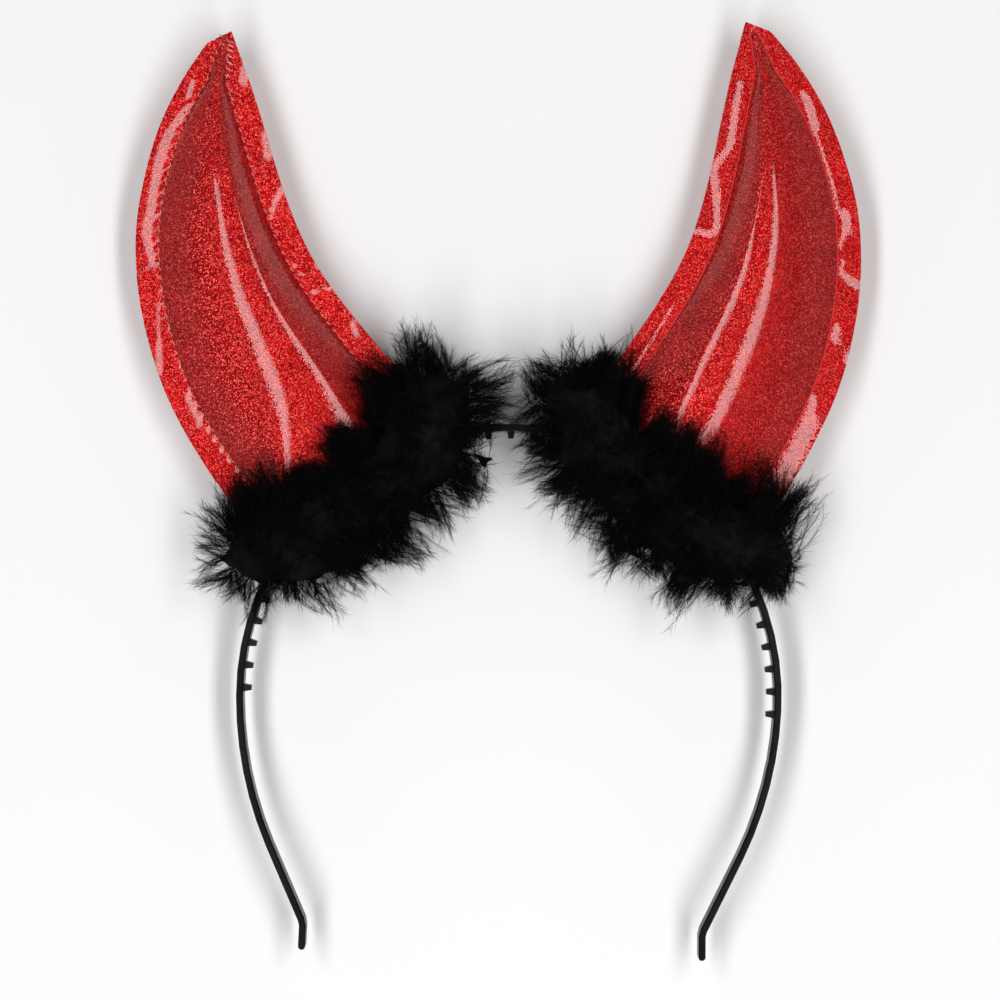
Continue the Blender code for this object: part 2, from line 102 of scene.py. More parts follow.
# The two lengthwise folds of the padding at a share of the horn's length: their places across from the
# inner seam to the outer one, the widths over which they turn, and their slopes there, one up, one down
Fold = namedtuple("Fold", "share inner outer inner_width outer_width inner_slope outer_slope")
FOLDS = {
    "left": (
        Fold(0.00, 0.27, 0.94, 0.0006, 0.0002, 0.23, 0.22),
        Fold(0.05, 0.27, 0.85, 0.0010, 0.0002, 0.23, 0.21),
        Fold(0.09, 0.27, 0.76, 0.0015, 0.0004, 0.23, 0.20),
        Fold(0.14, 0.25, 0.62, 0.0018, 0.0026, 0.24, 0.18),
        Fold(0.19, 0.25, 0.54, 0.0015, 0.0038, 0.255, 0.152),
        Fold(0.24, 0.235, 0.48, 0.0021, 0.0033, 0.266, 0.138),
        Fold(0.30, 0.235, 0.445, 0.0014, 0.0028, 0.275, 0.128),
        Fold(0.35, 0.23, 0.43, 0.0010, 0.0028, 0.286, 0.120),
        Fold(0.41, 0.215, 0.415, 0.0007, 0.0025, 0.290, 0.110),
        Fold(0.47, 0.21, 0.40, 0.0008, 0.0019, 0.288, 0.098),
        Fold(0.53, 0.22, 0.385, 0.0005, 0.0014, 0.283, 0.095),
        Fold(0.56, 0.23, 0.385, 0.0002, 0.0010, 0.10, 0.090),
        Fold(0.60, 0.24, 0.39, 0.0002, 0.0006, 0.08, 0.085),
        Fold(0.66, 0.27, 0.42, 0.0002, 0.0002, 0.08, 0.080),
        Fold(1.00, 0.45, 0.55, 0.0002, 0.0002, 0.08, 0.10),
    ),
    "right": (
        Fold(0.00, 0.37, 0.55, 0.0006, 0.0020, 0.19, 0.24),
        Fold(0.06, 0.35, 0.55, 0.0009, 0.0024, 0.20, 0.225),
        Fold(0.11, 0.34, 0.545, 0.0016, 0.0027, 0.215, 0.20),
        Fold(0.15, 0.33, 0.535, 0.0017, 0.0030, 0.232, 0.18),
        Fold(0.20, 0.30, 0.53, 0.0017, 0.0031, 0.238, 0.153),
        Fold(0.25, 0.28, 0.50, 0.0017, 0.0031, 0.250, 0.139),
        Fold(0.31, 0.27, 0.48, 0.0021, 0.0033, 0.263, 0.128),
        Fold(0.36, 0.28, 0.47, 0.0018, 0.0029, 0.273, 0.113),
        Fold(0.42, 0.25, 0.45, 0.0013, 0.0018, 0.274, 0.104),
        Fold(0.50, 0.265, 0.44, 0.0009, 0.0015, 0.267, 0.098),
        Fold(0.53, 0.27, 0.42, 0.0002, 0.0011, 0.10, 0.097),
        Fold(0.59, 0.27, 0.385, 0.0002, 0.0003, 0.08, 0.095),
        Fold(0.64, 0.28, 0.36, 0.0002, 0.0002, 0.08, 0.10),
        Fold(1.00, 0.45, 0.55, 0.0002, 0.0002, 0.08, 0.10),
    ),
}
# Half of the turn in each fold, as a slope, and how finely a section is summed up
FOLD_TURN = 0.045
PROFILE_STEPS = 361
EASING_ROWS = 12
# How the slopes outside the two folds grow towards the inner and the outer seam
INNER_FLANK = 0.3
OUTER_FLANK = 0.8
LEAST_FLANK_SLOPE = 0.05

# Slow ripples of the padding, as (size, share of the height, seed), and the wave of the flat edges
RIPPLES = ((0.016, 1.0, 3.0), (0.007, 0.5, 9.0))
WAVE_SIZE = 0.0065
WAVE_POWER = 1.2
# Puckers along the stitched seams: how many, how they slant and wander, and how far they reach at the
# inner seam and, less far, at the outer one
PUCKERS = 50.0
PUCKER_SLANT = 1300.0
PUCKER_WANDER = 2.0
PUCKER_WANDER_SIZE = 0.006
PUCKER_REACH = 0.0016
PUCKER_REACH_LOSS = 0.0007

# Curls of the flat edges: each runs from one share of the horn's length and of the edge's width to
# another, and fades over its spread, in metres
Curl = namedtuple("Curl", "edge start start_across end end_across spread")
CURLS = {
    "left": (
        Curl("outer", 0.905, 0.55, 0.87, 0.35, 0.0006),
        Curl("outer", 0.85, 0.15, 0.80, 0.48, 0.0011),
        Curl("outer", 0.80, 0.48, 0.73, 0.50, 0.0013),
        Curl("outer", 0.73, 0.50, 0.665, 0.42, 0.0012),
        Curl("outer", 0.665, 0.42, 0.62, 0.52, 0.0013),
        Curl("outer", 0.62, 0.52, 0.565, 0.28, 0.0011),
        Curl("outer", 0.50, 0.20, 0.43, 0.56, 0.0004),
        Curl("outer", 0.43, 0.56, 0.38, 0.90, 0.0009),
        Curl("outer", 0.32, 0.20, 0.265, 0.25, 0.0012),
        Curl("outer", 0.265, 0.20, 0.12, 0.05, 0.0005),
        Curl("inner", 0.91, 0.95, 0.88, 0.70, 0.0014),
        Curl("inner", 0.76, 1.00, 0.71, 0.80, 0.0016),
        Curl("inner", 0.64, 1.00, 0.61, 0.45, 0.0009),
        Curl("inner", 0.61, 0.45, 0.58, 0.10, 0.0007),
        Curl("inner", 0.455, 0.95, 0.44, 0.95, 0.0008),
        Curl("inner", 0.47, 0.15, 0.44, 0.35, 0.0006),
        Curl("inner", 0.40, 0.25, 0.385, 0.55, 0.0010),
        Curl("inner", 0.39, 0.85, 0.37, 0.85, 0.0013),
        Curl("inner", 0.30, 0.75, 0.27, 0.60, 0.0012),
    ),
    "right": (
        Curl("inner", 0.855, 0.57, 0.79, 0.52, 0.0014),
        Curl("inner", 0.79, 0.52, 0.72, 0.43, 0.0015),
        Curl("inner", 0.72, 0.43, 0.665, 0.93, 0.0015),
        Curl("inner", 0.665, 0.93, 0.59, 0.45, 0.0015),
        Curl("inner", 0.59, 0.45, 0.53, 0.12, 0.0012),
        Curl("inner", 0.52, 0.30, 0.51, 0.95, 0.0017),
        Curl("inner", 0.345, 0.40, 0.17, 0.33, 0.0007),
        Curl("outer", 0.85, 0.50, 0.79, 0.27, 0.0012),
        Curl("outer", 0.785, 0.15, 0.63, 0.15, 0.0004),
        Curl("outer", 0.63, 0.45, 0.60, 0.45, 0.0013),
        Curl("outer", 0.60, 0.40, 0.57, 0.10, 0.0006),
        Curl("outer", 0.545, 0.19, 0.543, 0.21, 0.0008),
        Curl("outer", 0.525, 0.15, 0.51, 0.90, 0.0012),
        Curl("outer", 0.43, 0.27, 0.41, 0.27, 0.0013),
        Curl("outer", 0.39, 0.95, 0.38, 0.95, 0.0009),
        Curl("outer", 0.30, 0.15, 0.26, 0.40, 0.0012),
        Curl("outer", 0.26, 0.50, 0.04, 0.60, 0.0030),
    ),
}
# How steeply each flat edge rises or falls in its curls, at the foot, halfway and at the tip
CURL_SLOPES = {"inner": (0.19, 0.135, 0.105), "outer": (-0.14, -0.085, -0.15)}

Horn = namedtuple("Horn", "inner outer foot level edge_top rise")

# A stitch's ends: their width, their place and how far they dip, and how high threads lie
STITCH_END_WIDTH = 0.55
STITCH_END_PLACE = 0.72
STITCH_END_DIP = 0.55
STITCH_LIFT = 0.35
THREAD_LIFT = 0.3
# The unbroken thread leaves out the first rows at the foot and the last ones at the tip
THREAD_ROWS = slice(2, -4)

# The dense middle of a trim: voxels of its two remeshes, smoothing, lumps as (size, height, seed)
CORE_VOXELS = (0.0010, 0.0011)
CORE_SMOOTHING = {"factor": 0.5, "iterations": 20}
CORE_LUMPS = ((0.0045, 0.0009, 2.0), (0.0018, 0.0004, 4.0))
CORE_FLOOR = 0.0001

# Roots of plumes: spare ones drawn for each that is kept, the room that a plume needs in front of its
# root, how blocked ones lean up and towards the tips, and how low a root may be if it points down
SPARE_ROOTS = 5
ROOM_START = 0.0006
ROOM = 0.007
LEAN_UP = (0.0, 0.0, 1.1)
LEAN_ALONG = (0.0, 0.5, 0.0)
LOW_ROOT = 0.002
STEEPEST_FALL = -0.3
ROOT_DEPTH = 0.0012

# Plumes that lie over the foot of a horn: how near to the horn they are rooted, how much closer together
# than the others, how steeply they rise, how much longer they are and how far they keep to the way out
FRINGE_REACH = 0.0055
FRINGE_DENSITY = 3.2
FRINGE_RISE = 0.26
FRINGE_LENGTH = 1.35
FRINGE_OUTWARD = 0.5

# Tufts: how their ways and lengths vary, how blurred their borders are and how they draw plumes along
TUFT_SPREAD = 0.45
TUFT_LENGTHS = (0.60, 1.40)
TUFT_BLUR = 0.0015
TUFT_SHARE = 0.8
# Plumes: how their ways, lengths and bends vary, and where their shafts bend
PLUME_SPREAD = 0.30
PLUME_LENGTHS = (0.55, 1.08)
PLUME_CURL = 0.12
SHAFT_CUTS = (0.35, 0.7)
# Barbs: how many a plume has, where they start along the shaft and how far they run on, how they stand
# off it and curl, their lengths, and how those shrink towards the tip
BARBS = 26
BARB_START = 0.22
BARB_RUN = 0.72
BARB_SPREAD = 0.45
BARB_ANGLES = (0.30, 0.75)
BARB_CURL = 0.30
BARB_WANDER = 0.16
BARB_LENGTHS = (0.20, 0.44)
BARB_LENGTH_AT_ROOT = 1.15
BARB_LENGTH_LOSS = 0.55
# Plumes flatten out near the floor and under a ceiling: its height, the room past it and the fade
PLUME_FLOOR = (0.0006, 0.0003, 0.004)
PLUME_CEILING = (CAD_BOX[1][2] + 0.0090, 0.0010, 0.0030)

# Studio: floor, camera, and the strip lamps' places to each side, height, middle, size and aim
FLOOR_SIZE = 6.0
CAMERA_PLACE = (0.0004, -0.0022)
SENSOR_WIDTH = 36.0
NEAR_CLIP = 0.01
LAMP_SIDE = 0.34
LAMP_HEIGHT = 0.90
LAMP_MIDDLE = -0.19
LAMP_SIZE = (0.155, 1.22)
LAMP_AIM = 0.03


def length_setting(name, default, description):
    """A length in the sidebar."""
    return FloatProperty(name=name, default=default, description=description, unit="LENGTH", precision=5)


def factor_setting(name, default, description):
    """A share or a slope in the sidebar."""
    return FloatProperty(name=name, default=default, description=description, subtype="FACTOR")


def colour_setting(name, default, description):
    """A colour in the sidebar."""
    return FloatVectorProperty(name=name, default=default, description=description, subtype="COLOR")


class HornSettings(bpy.types.PropertyGroup):
    """Sizes and colours of the padded horns."""

    flange: length_setting("Flat edge", 0.0058, "Width of the flat edge outside the seam")
    wave: length_setting("Edge wave", 0.00003, "Height of the slight random wave of the flat edge")
    pucker: length_setting("Pucker", 0.00016, "Height of the puckers along a stitched seam")
    ripple: length_setting("Ripple", 0.00006, "Height of the slow ripples over the padding")
    fill: factor_setting("Fill", 0.6, "How tightly the horns are stuffed, from slack to tight")
    flake: length_setting("Glitter size", 0.00022, "Width of one glitter flake")
    flake_tilt: factor_setting("Glitter lean", 0.62, "How far the flakes lean, as a slope")
    film_tilt: factor_setting("Film lean", 0.045, "How far the film leans over each flake, as a slope")
    # The dark and the bright glitter colours are painted shade and painted glints: flakes painted dark as
    # if turned away from the lamps, and bright as if catching them.
    painted_shade_flake: colour_setting("Dark glitter", (0.12, 0.001, 0.002), "Flakes that face away")
    red_flake: colour_setting("Red glitter", (0.54, 0.003, 0.005), "Most flakes")
    painted_glint_flake: colour_setting("Bright glitter", (1.0, 0.12, 0.10), "Flakes that catch the light")


class SeamSettings(bpy.types.PropertyGroup):
    """Sizes and colours of the sewing thread."""

    pitch: length_setting("Stitch pitch", 0.0023, "Distance from one stitch to the next")
    length: length_setting("Stitch length", 0.0014, "Visible length of a stitch")
    thread: length_setting("Thread width", 0.00034, "Width of the sewing thread")
    slant: FloatProperty(
        name="Stitch slant",
        default=math.radians(22.0),
        description="How far each stitch of the left horn turns away from its seam",
        subtype="ANGLE",
    )
    colour: colour_setting("Thread colour", (0.80, 0.010, 0.010), "Unbroken thread of the right horn")
    # The left stitches are partly thread colour and partly painted highlight: their light pink stands in
    # for the glints of the puckers along that seam.
    stitch_colour_and_glint: colour_setting("Stitch colour", (0.86, 0.20, 0.18), "Stitches of the left horn")


class MarabouSettings(bpy.types.PropertyGroup):
    """Sizes and colour of the marabou trims."""

    plumes: IntProperty(name="Plumes", default=1600, description="Plumes that one piece of a trim carries")
    length: length_setting("Plume length", 0.0105, "Mean length of a plume")
    shaft: length_setting("Shaft width", 0.00009, "Half width of a plume's shaft at its root")
    barb: length_setting("Barb width", 0.00005, "Half width of a barb at its root")
    tufts: IntProperty(name="Tufts", default=80, description="Tufts that the plumes draw together in")
    pull: factor_setting("Pull", 0.70, "How strongly the plumes of a tuft lean together")
    inset: length_setting("Core inset", 0.0026, "How far the dense middle lies inside the outer form")
    seed: IntProperty(name="Seed", default=7, description="Start of the random placing of the plumes")
    colour: colour_setting("Marabou colour", (0.0034, 0.0034, 0.0036), "Dyed marabou")


class BandSettings(bpy.types.PropertyGroup):
    """Finish of the moulded band."""

    colour: colour_setting("Plastic colour", (0.0025, 0.0025, 0.0028), "Moulded plastic")
    gloss: factor_setting("Roughness", 0.30, "Mean roughness of the moulded plastic")


class StudioSettings(bpy.types.PropertyGroup):
    """Camera, lamps and floor."""

    distance: length_setting("Camera height", 0.812, "Height of the camera over the floor")
    lens: FloatProperty(name="Lens", default=120.0, description="Focal length in millimetres")
    strip_power: FloatProperty(name="Strip lamp power", default=5.5, description="Power of each lamp")
    fill_light: FloatProperty(name="Room light", default=0.80, description="Brightness of the room")
    floor: colour_setting("Floor colour", (0.95, 0.95, 0.95), "Studio floor")


def settings(context, group):
    """One group of settings of the scene."""
    return getattr(context.scene, f"headband_{group}")


def deselect_all():
    """Leaves nothing selected."""
    if bpy.context.mode != "OBJECT":
        bpy.ops.object.mode_set(mode="OBJECT")
    bpy.ops.object.select_all(action="DESELECT")


def activate(obj):
    """Makes obj the only selected object, and the active one."""
    deselect_all()
    obj.select_set(True)
    bpy.context.view_layer.objects.active = obj


def edit_mode(mode="VERT"):
    """Starts editing the active object with nothing selected."""
    bpy.ops.object.mode_set(mode="EDIT")
    bpy.ops.mesh.select_mode(type=mode)
    bpy.ops.mesh.select_all(action="DESELECT")


def object_mode():
    """Ends editing."""
    bpy.ops.object.mode_set(mode="OBJECT")


def node_of(name):
    """One CAD node of the frame."""
    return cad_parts[name]


def settle(obj, slot, *replaced):
    """Fastens a finished piece to the body and hides any CAD nodes that it stands for."""
    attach(obj, BODY)
    if replaced:
        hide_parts(*replaced)


def mesh_points(mesh):
    """The vertices of a mesh as an array."""
    flat = np.empty(len(mesh.vertices) * 3, dtype=np.float32)
    mesh.vertices.foreach_get("co", flat)
    return flat.reshape(-1, 3).astype(float)


def set_points(mesh, points):
    """Moves all the vertices of a mesh to the given points."""
    mesh.vertices.foreach_set("co", np.asarray(points, dtype=np.float32).ravel())
    mesh.update()


def unit(vectors):
    """The same directions with length one."""
    return vectors / np.maximum(np.linalg.norm(vectors, axis=-1, keepdims=True), 1e-12)


# Materials


def new_material(name):
    """A material, its node tree and its shader."""
    material = bpy.data.materials.new(name)
    material.use_nodes = True
    tree = material.node_tree
    return material, tree, tree.nodes["Principled BSDF"]


def add_node(tree, kind, options=None, **inputs):
    """A node with its options and the values of its sockets."""
    node = tree.nodes.new(kind)
    for key, value in (options or {}).items():
        setattr(node, key, value)
    for key, value in inputs.items():
        node.inputs[key.replace("_", " ")].default_value = value
    return node


def set_shader(shader, **inputs):
    """Constants on the shader's own sockets."""
    for key, value in inputs.items():
        shader.inputs[key.replace("_", " ")].default_value = value


def add_ramp(tree, source, stops):
    """A colour ramp of a value, through (place, colour) stops."""
    node = tree.nodes.new("ShaderNodeValToRGB")
    elements = node.color_ramp.elements
    while len(elements) < len(stops):
        elements.new(0.5)
    for element, (place, colour) in zip(elements, stops):
        element.position = place
        element.color = (*colour, 1.0)
    tree.links.new(source, node.inputs["Fac"])
    return node.outputs["Color"]


def add_noise(tree, place, scale, detail):
    """Noise over a piece, from 0 to 1."""
    node = add_node(tree, "ShaderNodeTexNoise", Scale=scale, Detail=detail)
    tree.links.new(place, node.inputs["Vector"])
    return node.outputs["Fac"]


def add_bump(tree, source, shader, strength, distance):
    """Fine relief of a finish."""
    node = add_node(tree, "ShaderNodeBump", Strength=strength, Distance=distance)
    tree.links.new(source, node.inputs["Height"])
    tree.links.new(node.outputs["Normal"], shader.inputs["Normal"])


def piece_place(tree):
    """The place of a point in its own piece."""
    return add_node(tree, "ShaderNodeTexCoord").outputs["Object"]


def grey(value):
    """A grey colour."""
    return (value, value, value)


def tilted_normal(tree, cells, amount):
    """The surface's normal, leaning its own way in each cell of a pattern."""
    link = tree.links.new
    centre = add_node(tree, "ShaderNodeVectorMath", {"operation": "SUBTRACT"})
    centre.inputs[1].default_value = grey(0.5)
    link(cells.outputs["Color"], centre.inputs[0])
    tilt = add_node(tree, "ShaderNodeVectorMath", {"operation": "SCALE"}, Scale=amount)
    link(centre.outputs["Vector"], tilt.inputs[0])
    surface = add_node(tree, "ShaderNodeNewGeometry")
    lean = add_node(tree, "ShaderNodeVectorMath", {"operation": "ADD"})
    link(tilt.outputs["Vector"], lean.inputs[0])
    link(surface.outputs["Normal"], lean.inputs[1])
    even = add_node(tree, "ShaderNodeVectorMath", {"operation": "NORMALIZE"})
    link(lean.outputs["Vector"], even.inputs[0])
    return even.outputs["Vector"]


def glitter_vinyl(setup):
    """Red glitter under a clear glossy film: tilted flakes in a fine cell pattern, their colours carrying
    painted shade and painted glints.
    """
    material, tree, shader = new_material("red_glitter_vinyl")
    link = tree.links.new
    place = piece_place(tree)
    cells = add_node(tree, "ShaderNodeTexVoronoi", Scale=1.0 / setup.flake, Randomness=1.0)
    link(place, cells.inputs["Vector"])
    parts = add_node(tree, "ShaderNodeSeparateColor")
    link(cells.outputs["Color"], parts.inputs["Color"])
    # Painted shade and painted glints: each flake's colour runs from dark, as if turned away from the
    # lamps, through red to bright, as if catching them, besides its tilted normal.
    stops = (
        (0.06, setup.painted_shade_flake),
        (0.34, setup.red_flake),
        (0.72, setup.red_flake),
        (0.94, setup.painted_glint_flake),
    )
    flakes = add_ramp(tree, parts.outputs["Red"], stops)
    clouds = add_noise(tree, place, 160.0, 2.0)
    shade = add_ramp(tree, clouds, ((0.3, grey(0.82)), (0.7, grey(1.0))))
    mix = add_node(tree, "ShaderNodeMix", {"data_type": "RGBA", "blend_type": "MULTIPLY"})
    mix.inputs["Factor"].default_value = 1.0
    link(flakes, mix.inputs["A"])
    link(shade, mix.inputs["B"])
    link(mix.outputs["Result"], shader.inputs["Base Color"])
    link(tilted_normal(tree, cells, setup.flake_tilt), shader.inputs["Normal"])
    link(tilted_normal(tree, cells, setup.film_tilt), shader.inputs["Coat Normal"])
    set_shader(
        shader,
        Metallic=0.50,
        Roughness=0.38,
        Specular_IOR_Level=0.05,
        Coat_Weight=1.0,
        Coat_Roughness=0.03,
        Coat_IOR=1.37,
    )
    return material


def sewing_thread(name, colour):
    """Twisted polyester thread."""
    material, tree, shader = new_material(name)
    twist = add_noise(tree, piece_place(tree), 5000.0, 2.0)
    dark = [0.6 * value for value in colour]
    shades = add_ramp(tree, twist, ((0.35, dark), (0.65, colour)))
    tree.links.new(shades, shader.inputs["Base Color"])
    add_bump(tree, twist, shader, 0.4, 0.00004)
    set_shader(shader, Roughness=0.4, Sheen_Weight=0.2, Sheen_Roughness=0.4)
    return material


def marabou_down(setup):
    """Dyed down: near black, matt, a touch lighter in patches."""
    material, tree, shader = new_material(MARABOU_FINISH)
    place = piece_place(tree)
    light = [2.2 * value for value in setup.colour]
    stops = ((0.35, setup.colour), (0.75, light))
    shades = add_ramp(tree, add_noise(tree, place, 420.0, 3.0), stops)
    tree.links.new(shades, shader.inputs["Base Color"])
    add_bump(tree, add_noise(tree, place, 2600.0, 2.0), shader, 0.8, 0.0002)
    set_shader(shader, Roughness=0.9, Specular_IOR_Level=0.04)
    return material


def moulded_plastic(setup):
    """Black moulded plastic with faint flow marks and fine handling scratches."""
    material, tree, shader = new_material("black_moulded_plastic")
    link = tree.links.new
    place = piece_place(tree)
    flow = add_noise(tree, place, 90.0, 3.0)
    light = [1.7 * value for value in setup.colour]
    link(add_ramp(tree, flow, ((0.35, setup.colour), (0.75, light))), shader.inputs["Base Color"])
    stops = ((0.3, grey(setup.gloss * 0.8)), (0.7, grey(setup.gloss * 1.25)))
    link(add_ramp(tree, flow, stops), shader.inputs["Roughness"])
    stretch = add_node(tree, "ShaderNodeMapping", Scale=(1.0, 1.0, 9.0))
    link(place, stretch.inputs["Vector"])
    grain = add_noise(tree, stretch.outputs["Vector"], 700.0, 3.0)
    add_bump(tree, grain, shader, 0.25, 0.00005)
    set_shader(shader, Specular_IOR_Level=0.12)
    return material


def studio_floor(setup):
    """Plain pale floor."""
    material, tree, shader = new_material("pale_floor")
    mottle = add_noise(tree, piece_place(tree), 3.0, 2.0)
    dull = [0.98 * value for value in setup.floor]
    shades = add_ramp(tree, mottle, ((0.3, dull), (0.7, setup.floor)))
    tree.links.new(shades, shader.inputs["Base Color"])
    set_shader(shader, Roughness=0.9, Specular_IOR_Level=0.1)
    return material


# Horns


def border_runs(node):
    """The four sides of a panel's outer face, as runs of points between its four corners."""
    builder = bmesh.new()
    builder.from_mesh(node.data)
    bmesh.ops.remove_doubles(builder, verts=builder.verts, dist=MERGE)
    builder.normal_update()
    hidden = [face for face in builder.faces if face.normal.z < OUTER_FACE_LIMIT]
    bmesh.ops.delete(builder, geom=hidden, context="FACES")
    edges = [edge for edge in builder.edges if edge.is_boundary]
    start = edges[0].verts[0]
    loop, edge, vert = [start.co.copy()], edges[0], edges[0].verts[1]
    while vert is not start:
        loop.append(vert.co.copy())
        edge = next(other for other in vert.link_edges if other.is_boundary and other is not edge)
        vert = edge.other_vert(vert)
    points = np.array(loop)
    heights = np.array([vertex.co[:] for vertex in builder.verts])
    builder.free()
    before = unit(points - np.roll(points, 1, axis=0))[:, :2]
    after = unit(np.roll(points, -1, axis=0) - points)[:, :2]
    straight = np.sum(before * after, axis=1)
    corners = sorted(np.argsort(straight)[:4])
    runs = []
    for first, last in zip(corners, corners[1:] + [corners[0] + len(points)]):
        runs.append(points[np.arange(first, last + 1) % len(points)])
    return runs, heights


def read_horn(word):
    """The pattern of a horn, read off its front panel: both cut edges, foot, levels and crown."""
    runs, heights = border_runs(node_of(f"horn_{word}_front_panel"))
    runs.sort(key=lambda run: run[:, 1].mean())
    foot, tip = runs[0], runs[-1]
    inner, outer = sorted(runs[1:3], key=lambda run: abs(run[:, 0]).mean())
    inner = inner if inner[0, 1] < inner[-1, 1] else inner[::-1]
    outer = outer if outer[0, 1] < outer[-1, 1] else outer[::-1]
    nearer = np.linalg.norm(foot[0] - inner[0]) < np.linalg.norm(foot[-1] - inner[0])
    foot = foot if nearer else foot[::-1]
    low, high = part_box("headband")
    level = (low[2] + high[2]) / 2
    edge_top = tip[:, 2].mean() - level
    horn = Horn(inner, outer, foot, level, edge_top, None)
    shares = np.linspace(0.0, 1.0, len(inner))
    middles, width = section_points(horn, shares, np.full((len(inner), 1), 0.5))
    rise = []
    for middle, reach in zip(middles[:, 0], width * RISE_REACH):
        near = np.linalg.norm(heights[:, :2] - middle, axis=1) < max(reach, LEAST_REACH)
        rise.append(max(0.0, heights[near, 2].max() - level - edge_top))
    return horn._replace(rise=np.array(rise))


def along_curve(points, places):
    """Values at shares of a smooth curve through evenly placed ones."""
    points = np.asarray(points, dtype=float)
    last = len(points) - 1
    at = np.clip(places, 0.0, 1.0) * last
    step = np.minimum(at.astype(int), last - 1)
    t = (at - step).reshape(at.shape + (1,) * (points.ndim - 1))
    slopes = np.gradient(points, axis=0)
    start, end = points[step], points[step + 1]
    return (
        (2 * t**3 - 3 * t**2 + 1) * start
        + (t**3 - 2 * t**2 + t) * slopes[step]
        + (3 * t**2 - 2 * t**3) * end
        + (t**3 - t**2) * slopes[step + 1]
    )


def section_points(horn, shares, across):
    """Plan points of a horn's sections, bowed near the foot so that it follows the band."""
    inner = along_curve(horn.inner, shares)[:, None, :2]
    outer = along_curve(horn.outer, shares)[:, None, :2]
    width = np.linalg.norm(outer - inner, axis=2)[:, 0]
    chord = horn.foot[0, :2] + (horn.foot[-1, :2] - horn.foot[0, :2]) * across[..., None]
    bow = along_curve(horn.foot[:, :2], across) - chord
    fade = np.maximum(0.0, 1.0 - shares / FOOT_CURVE_SHARE)[:, None, None] ** 2
    return inner + (outer - inner) * across[..., None] + bow * fade, width


def eased(values):
    """Values with their corners rounded off over a few rows."""
    reach = 2 * EASING_ROWS + 1
    padded = np.pad(values, EASING_ROWS, mode="edge")
    return np.convolve(padded, np.full(reach, 1.0 / reach), "valid")


def crown(place, width, rise, fold):
    """Height of the padding across one section, summed up from the slopes of its folds."""
    steps = np.linspace(0.0, 1.0, PROFILE_STEPS)
    inner, outer = fold.inner_width / width / 2.0, fold.outer_width / width / 2.0
    marks = (fold.inner - inner, fold.inner + inner, fold.outer - outer, fold.outer + outer)
    turns = np.array((1.0, -1.0, 1.0, -1.0)) * FOLD_TURN
    levels = np.array((fold.inner_slope,) * 2 + (-fold.outer_slope,) * 2) + turns
    slopes = abs(np.interp(steps, marks, levels))
    top = np.searchsorted(-np.interp(steps, marks, levels), 0.0)
    inner_flank = np.maximum(0.0, 1.0 - steps / marks[0]) ** INNER_FLANK
    outer_flank = np.maximum(0.0, (steps - marks[3]) / (1.0 - marks[3])) ** OUTER_FLANK
    tall = rise / width * PROFILE_STEPS
    for part, flank in ((slice(0, top), inner_flank), (slice(top, None), outer_flank)):
        extra = (tall - slopes[part].sum()) / flank[part].sum()
        slopes[part] += max(LEAST_FLANK_SLOPE, extra) * flank[part]
    up = np.cumsum(slopes[:top])
    down = np.cumsum(slopes[top:][::-1])[::-1]
    heights = np.concatenate((up / up[-1], down / down[0]))
    heights[[0, -1]] = 0.0
    return rise * np.interp(place, steps, heights)


def field(points, size, seed):
    """Smooth noise from -1 to 1 at each point, with features of the given size."""
    flat = points.reshape(-1, points.shape[-1]) / size
    depth = flat[:, 2] if flat.shape[1] == 3 else np.zeros(len(flat))
    values = [
        noise.noise(Vector((float(x), float(y), float(z) + seed)))
        for x, y, z in zip(flat[:, 0], flat[:, 1], depth)
    ]
    return np.array(values).reshape(points.shape[:-1])


def edge_curls(word, edge, along, out, length, flange):
    """Lift of a flat edge, from nothing at the seam to the cut edge, by its curls."""
    curl = np.zeros((len(along), len(out)))
    for row in CURLS[word]:
        if row.edge == edge:
            start = np.array((row.start * length, row.start_across * flange))
            end = np.array((row.end * length, row.end_across * flange))
            way = end - start
            from_start = np.stack(np.broadcast_arrays(along[:, None], out[None, :]), axis=2) - start
            share = np.clip(from_start @ way / (way @ way), 0.0, 1.0)
            gap = np.linalg.norm(from_start - share[..., None] * way, axis=2)
            curl = np.maximum(curl, np.exp(-((gap / row.spread) ** 2)))
    slopes = np.interp(along / length, (0.0, 0.5, 1.0), CURL_SLOPES[edge])[:, None]
    lift = np.cumsum((curl[:, 1:] + curl[:, :-1]) / 2.0, axis=1) * (out[1] - out[0]) * slopes
    return np.concatenate((np.zeros((len(along), 1)), lift), axis=1)


